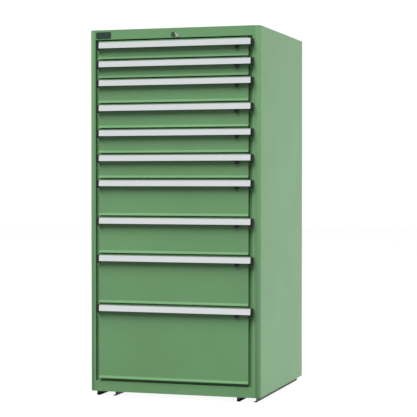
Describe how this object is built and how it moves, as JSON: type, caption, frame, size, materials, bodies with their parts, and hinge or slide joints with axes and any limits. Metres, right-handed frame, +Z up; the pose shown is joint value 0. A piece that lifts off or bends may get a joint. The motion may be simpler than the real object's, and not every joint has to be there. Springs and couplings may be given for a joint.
{
  "type": "tool cabinet",
  "caption": "Tall steel drawer cabinet with full-width aluminium grips, thumb catches, telescopic runners and a central lock bar, standing on two base channels.",
  "frame": {"origin": "on the floor, under the middle of the whole outline, handles included", "axes": "+X to the cabinet's right as seen from the front, +Y to the rear, +Z up"},
  "size_m": [0.71, 0.712, 1.47],
  "materials": {
    "body_paint": "fine-textured powder coat, satin",
    "front_paint": "fine-textured powder coat, satin",
    "base_paint": "fine-textured powder coat, matt",
    "handle_metal": "satin anodised extrusion",
    "catch_plastic": "matte moulded",
    "zinc_steel": "bright zinc plated",
    "lock_metal": "satin nickel plated",
    "lock_dark": "dark enamel, satin",
    "badge_plastic": "matte moulded"
  },
  "bodies": {
    "cabinet": {"side_panel_left": "body_paint", "side_panel_right": "body_paint", "top_panel": "body_paint", "back_panel": "body_paint", "floor_panel": "body_paint", "header_rail": "body_paint", "sill_rail": "body_paint", "mounting_columns_left": "zinc_steel", "mounting_columns_right": "zinc_steel", "runner_rails_left": "zinc_steel", "runner_rails_right": "zinc_steel", "base_channel_left": "base_paint", "base_channel_right": "base_paint", "base_bolts": "zinc_steel", "lock_housing": "lock_dark", "badge_plate": "badge_plastic"},
    "drawer_01": {"drawer_01_box": "front_paint", "drawer_01_handle": "handle_metal"},
    "catch_01": {"drawer_01_catch": "catch_plastic"},
    "carriage_01": {"drawer_01_carriage": "zinc_steel"},
    "drawer_02": {"drawer_02_box": "front_paint", "drawer_02_handle": "handle_metal"},
    "catch_02": {"drawer_02_catch": "catch_plastic"},
    "carriage_02": {"drawer_02_carriage": "zinc_steel"},
    "drawer_03": {"drawer_03_box": "front_paint", "drawer_03_handle": "handle_metal"},
    "catch_03": {"drawer_03_catch": "catch_plastic"},
    "carriage_03": {"drawer_03_carriage": "zinc_steel"},
    "drawer_04": {"drawer_04_box": "front_paint", "drawer_04_handle": "handle_metal"},
    "catch_04": {"drawer_04_catch": "catch_plastic"},
    "carriage_04": {"drawer_04_carriage": "zinc_steel"},
    "drawer_05": {"drawer_05_box": "front_paint", "drawer_05_handle": "handle_metal"},
    "catch_05": {"drawer_05_catch": "catch_plastic"},
    "carriage_05": {"drawer_05_carriage": "zinc_steel"},
    "drawer_06": {"drawer_06_box": "front_paint", "drawer_06_handle": "handle_metal"},
    "catch_06": {"drawer_06_catch": "catch_plastic"},
    "carriage_06": {"drawer_06_carriage": "zinc_steel"},
    "drawer_07": {"drawer_07_box": "front_paint", "drawer_07_handle": "handle_metal"},
    "catch_07": {"drawer_07_catch": "catch_plastic"},
    "carriage_07": {"drawer_07_carriage": "zinc_steel"},
    "drawer_08": {"drawer_08_box": "front_paint", "drawer_08_handle": "handle_metal"},
    "catch_08": {"drawer_08_catch": "catch_plastic"},
    "carriage_08": {"drawer_08_carriage": "zinc_steel"},
    "drawer_09": {"drawer_09_box": "front_paint", "drawer_09_handle": "handle_metal"},
    "catch_09": {"drawer_09_catch": "catch_plastic"},
    "carriage_09": {"drawer_09_carriage": "zinc_steel"},
    "drawer_10": {"drawer_10_box": "front_paint", "drawer_10_handle": "handle_metal"},
    "catch_10": {"drawer_10_catch": "catch_plastic"},
    "carriage_10": {"drawer_10_carriage": "zinc_steel"},
    "lock_plug": {"lock_plug": "lock_metal"},
    "lock_slide": {"lock_slide": "zinc_steel"},
    "lock_bar": {"lock_bar": "zinc_steel"},
    "lock_cover": {"lock_cover": "lock_metal"}
  },
  "joints": [
    {"name": "drawer_01_slide", "type": "slide", "parent": "cabinet", "child": "drawer_01", "axis": [0, -1, 0], "range_m": [0, 0.6]},
    {"name": "carriage_01_slide", "type": "slide", "parent": "cabinet", "child": "carriage_01", "axis": [0, -1, 0], "range_m": [0, 0.3]},
    {"name": "catch_01_slide", "type": "slide", "parent": "drawer_01", "child": "catch_01", "axis": [1, 0, 0], "range_m": [0, 0.018]},
    {"name": "drawer_02_slide", "type": "slide", "parent": "cabinet", "child": "drawer_02", "axis": [0, -1, 0], "range_m": [0, 0.6]},
    {"name": "carriage_02_slide", "type": "slide", "parent": "cabinet", "child": "carriage_02", "axis": [0, -1, 0], "range_m": [0, 0.3]},
    {"name": "catch_02_slide", "type": "slide", "parent": "drawer_02", "child": "catch_02", "axis": [1, 0, 0], "range_m": [0, 0.018]},
    {"name": "drawer_03_slide", "type": "slide", "parent": "cabinet", "child": "drawer_03", "axis": [0, -1, 0], "range_m": [0, 0.6]},
    {"name": "carriage_03_slide", "type": "slide", "parent": "cabinet", "child": "carriage_03", "axis": [0, -1, 0], "range_m": [0, 0.3]},
    {"name": "catch_03_slide", "type": "slide", "parent": "drawer_03", "child": "catch_03", "axis": [1, 0, 0], "range_m": [0, 0.018]},
    {"name": "drawer_04_slide", "type": "slide", "parent": "cabinet", "child": "drawer_04", "axis": [0, -1, 0], "range_m": [0, 0.6]},
    {"name": "carriage_04_slide", "type": "slide", "parent": "cabinet", "child": "carriage_04", "axis": [0, -1, 0], "range_m": [0, 0.3]},
    {"name": "catch_04_slide", "type": "slide", "parent": "drawer_04", "child": "catch_04", "axis": [1, 0, 0], "range_m": [0, 0.018]},
    {"name": "drawer_05_slide", "type": "slide", "parent": "cabinet", "child": "drawer_05", "axis": [0, -1, 0], "range_m": [0, 0.6]},
    {"name": "carriage_05_slide", "type": "slide", "parent": "cabinet", "child": "carriage_05", "axis": [0, -1, 0], "range_m": [0, 0.3]},
    {"name": "catch_05_slide", "type": "slide", "parent": "drawer_05", "child": "catch_05", "axis": [1, 0, 0], "range_m": [0, 0.018]},
    {"name": "drawer_06_slide", "type": "slide", "parent": "cabinet", "child": "drawer_06", "axis": [0, -1, 0], "range_m": [0, 0.6]},
    {"name": "carriage_06_slide", "type": "slide", "parent": "cabinet", "child": "carriage_06", "axis": [0, -1, 0], "range_m": [0, 0.3]},
    {"name": "catch_06_slide", "type": "slide", "parent": "drawer_06", "child": "catch_06", "axis": [1, 0, 0], "range_m": [0, 0.018]},
    {"name": "drawer_07_slide", "type": "slide", "parent": "cabinet", "child": "drawer_07", "axis": [0, -1, 0], "range_m": [0, 0.6]},
    {"name": "carriage_07_slide", "type": "slide", "parent": "cabinet", "child": "carriage_07", "axis": [0, -1, 0], "range_m": [0, 0.3]},
    {"name": "catch_07_slide", "type": "slide", "parent": "drawer_07", "child": "catch_07", "axis": [1, 0, 0], "range_m": [0, 0.018]},
    {"name": "drawer_08_slide", "type": "slide", "parent": "cabinet", "child": "drawer_08", "axis": [0, -1, 0], "range_m": [0, 0.6]},
    {"name": "carriage_08_slide", "type": "slide", "parent": "cabinet", "child": "carriage_08", "axis": [0, -1, 0], "range_m": [0, 0.3]},
    {"name": "catch_08_slide", "type": "slide", "parent": "drawer_08", "child": "catch_08", "axis": [1, 0, 0], "range_m": [0, 0.018]},
    {"name": "drawer_09_slide", "type": "slide", "parent": "cabinet", "child": "drawer_09", "axis": [0, -1, 0], "range_m": [0, 0.6]},
    {"name": "carriage_09_slide", "type": "slide", "parent": "cabinet", "child": "carriage_09", "axis": [0, -1, 0], "range_m": [0, 0.3]},
    {"name": "catch_09_slide", "type": "slide", "parent": "drawer_09", "child": "catch_09", "axis": [1, 0, 0], "range_m": [0, 0.018]},
    {"name": "drawer_10_slide", "type": "slide", "parent": "cabinet", "child": "drawer_10", "axis": [0, -1, 0], "range_m": [0, 0.6]},
    {"name": "carriage_10_slide", "type": "slide", "parent": "cabinet", "child": "carriage_10", "axis": [0, -1, 0], "range_m": [0, 0.3]},
    {"name": "catch_10_slide", "type": "slide", "parent": "drawer_10", "child": "catch_10", "axis": [1, 0, 0], "range_m": [0, 0.018]},
    {"name": "lock_turn", "type": "hinge", "parent": "cabinet", "child": "lock_plug", "pos_m": [0, -0.334, 1.445], "axis": [0, 1, 0], "range_deg": [0, 90]},
    {"name": "lock_slide_travel", "type": "slide", "parent": "cabinet", "child": "lock_slide", "axis": [1, 0, 0], "range_m": [0, 0.012]},
    {"name": "lock_bar_lift", "type": "slide", "parent": "cabinet", "child": "lock_bar", "axis": [0, 0, 1], "range_m": [0, 0.012]},
    {"name": "cover_swing", "type": "hinge", "parent": "cabinet", "child": "lock_cover", "pos_m": [0.0103, -0.3365, 1.4472], "axis": [0, 1, 0], "range_deg": [0, 117]}
  ],
  "couplings": [
    {"joint": "carriage_01_slide", "follows": "drawer_01_slide", "ratio": 0.5},
    {"joint": "carriage_02_slide", "follows": "drawer_02_slide", "ratio": 0.5},
    {"joint": "carriage_03_slide", "follows": "drawer_03_slide", "ratio": 0.5},
    {"joint": "carriage_04_slide", "follows": "drawer_04_slide", "ratio": 0.5},
    {"joint": "carriage_05_slide", "follows": "drawer_05_slide", "ratio": 0.5},
    {"joint": "carriage_06_slide", "follows": "drawer_06_slide", "ratio": 0.5},
    {"joint": "carriage_07_slide", "follows": "drawer_07_slide", "ratio": 0.5},
    {"joint": "carriage_08_slide", "follows": "drawer_08_slide", "ratio": 0.5},
    {"joint": "carriage_09_slide", "follows": "drawer_09_slide", "ratio": 0.5},
    {"joint": "carriage_10_slide", "follows": "drawer_10_slide", "ratio": 0.5},
    {"joint": "lock_slide_travel", "follows": "lock_bar_lift", "ratio": 1},
    {"joint": "lock_turn", "follows": "lock_bar_lift", "rad_per_m": 130.89}
  ]
}
